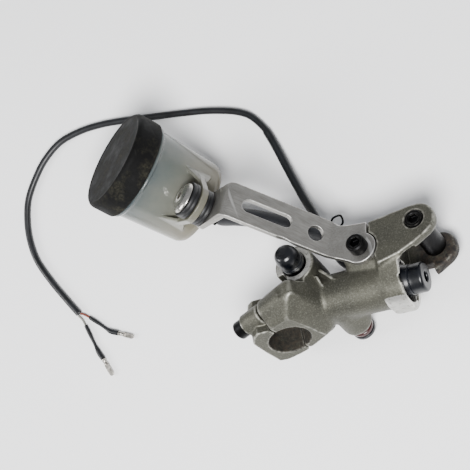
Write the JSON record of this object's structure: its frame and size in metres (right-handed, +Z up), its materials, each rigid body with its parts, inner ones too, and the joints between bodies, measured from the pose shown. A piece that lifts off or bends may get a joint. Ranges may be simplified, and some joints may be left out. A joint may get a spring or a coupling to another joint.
{
  "type": "brake master cylinder",
  "caption": "Radial front brake master cylinder: cast body and bar clamp, lever fork, remote reservoir on a bent strap, feed hose, brake light switch with lead.",
  "frame": {"origin": "middle of the box round the assembly without its electric lead, on the bench it lies on", "axes": "+X from the handlebar clamp towards the bore's mouth, +Y towards the reservoir, +Z up from the bench; the handlebar hole lies in the YZ plane's direction, tipped with the casting"},
  "size_m": [0.2318, 0.1774, 0.0723],
  "materials": {
    "cast": "sand cast aluminium with a grey titanium coat",
    "strap_metal": "brushed",
    "black_steel": "black oxide",
    "bush_steel": "black, greasy",
    "bright_steel": "bright",
    "piston_metal": "machined",
    "seal_rubber": "matt",
    "boot_rubber": "satin",
    "hose_rubber": "matt",
    "lead_rubber": "glossy",
    "black_plastic": "matt",
    "cap_plastic": "matt, scuffed",
    "white_plastic": "satin",
    "milky_plastic": "milky, translucent",
    "red_plastic": "dark, translucent",
    "brown_wire": "satin",
    "grey_wire": "satin",
    "tinned": "tinned"
  },
  "bodies": {
    "casting": {"master_body": "cast", "clamp_cap": "cast", "clamp_bolt_upper": "black_steel", "clamp_bolt_lower": "black_steel", "return_spring": "bright_steel", "stop_washer": "bright_steel", "bore_circlip": "black_steel", "dust_boot": "boot_rubber", "pivot_screw": "black_steel", "pivot_nut": "black_steel", "port_fitting": "black_steel", "port_circlip": "black_steel", "port_o_ring": "seal_rubber", "outlet_plug": "red_plastic", "outlet_plug_cap": "boot_rubber", "feed_nipple": "black_plastic", "switch_housing": "black_plastic", "lead_boot": "lead_rubber", "switch_spring": "bright_steel", "switch_screw_rear": "black_steel", "switch_screw_front": "black_steel", "reservoir_strap": "strap_metal", "strap_screw": "black_steel", "reservoir_cup": "milky_plastic", "lug_grommet_lower": "seal_rubber", "lug_grommet_upper": "seal_rubber", "lug_sleeve": "bright_steel", "lug_screw": "bright_steel", "lug_nut": "black_steel", "reservoir_hose": "hose_rubber", "hose_clip_upper": "black_steel", "hose_clip_lower": "black_steel", "lead_sheath": "lead_rubber", "switch_lead": "lead_rubber", "wire_brown": "brown_wire", "sleeve_brown": "lead_rubber", "terminal_brown": "tinned", "wire_grey": "grey_wire", "sleeve_grey": "lead_rubber", "terminal_grey": "tinned"},
    "piston_set": {"piston": "piston_metal", "primary_cup": "seal_rubber", "secondary_cup": "seal_rubber"},
    "plunger": {"switch_plunger": "white_plastic"},
    "bush": {"pivot_bush": "bush_steel"},
    "port_cap": {"port_dust_cap": "boot_rubber"},
    "cap_lift": {"cap_insert": "white_plastic", "bellows": "seal_rubber"},
    "cap": {"reservoir_cap": "cap_plastic"}
  },
  "joints": [
    {"name": "piston_slide", "type": "slide", "parent": "casting", "child": "piston_set", "axis": [-0.975, 0.1895, -0.1161], "range_m": [0, 0.012], "stiffness_N_per_m": 600, "springref_m": -0.01, "deforming": ["return_spring"]},
    {"name": "plunger_slide", "type": "slide", "parent": "casting", "child": "plunger", "axis": [-0.9998, 0, -0.0192], "range_m": [0, 0.0025], "stiffness_N_per_m": 150, "springref_m": -0.002, "deforming": ["switch_spring"]},
    {"name": "bush_spin", "type": "hinge", "parent": "casting", "child": "bush", "pos_m": [0.07362, -0.04348, 0.02382], "axis": [-0.0171, 0.4571, 0.8893], "continuous": true},
    {"name": "port_cap_pull", "type": "slide", "parent": "casting", "child": "port_cap", "axis": [-0.0171, 0.4571, 0.8893], "range_m": [0, 0.014]},
    {"name": "cap_raise", "type": "slide", "parent": "casting", "child": "cap_lift", "axis": [-0.4531, 0.624, 0.6366], "range_m": [0, 0.012]},
    {"name": "cap_turn", "type": "hinge", "parent": "cap_lift", "child": "cap", "pos_m": [-0.05739, 0.05279, 0.04681], "axis": [-0.4531, 0.624, 0.6366], "range_deg": [0, 1080]}
  ],
  "couplings": [
    {"joint": "cap_raise", "follows": "cap_turn", "m_per_rad": 0.0006366}
  ]
}
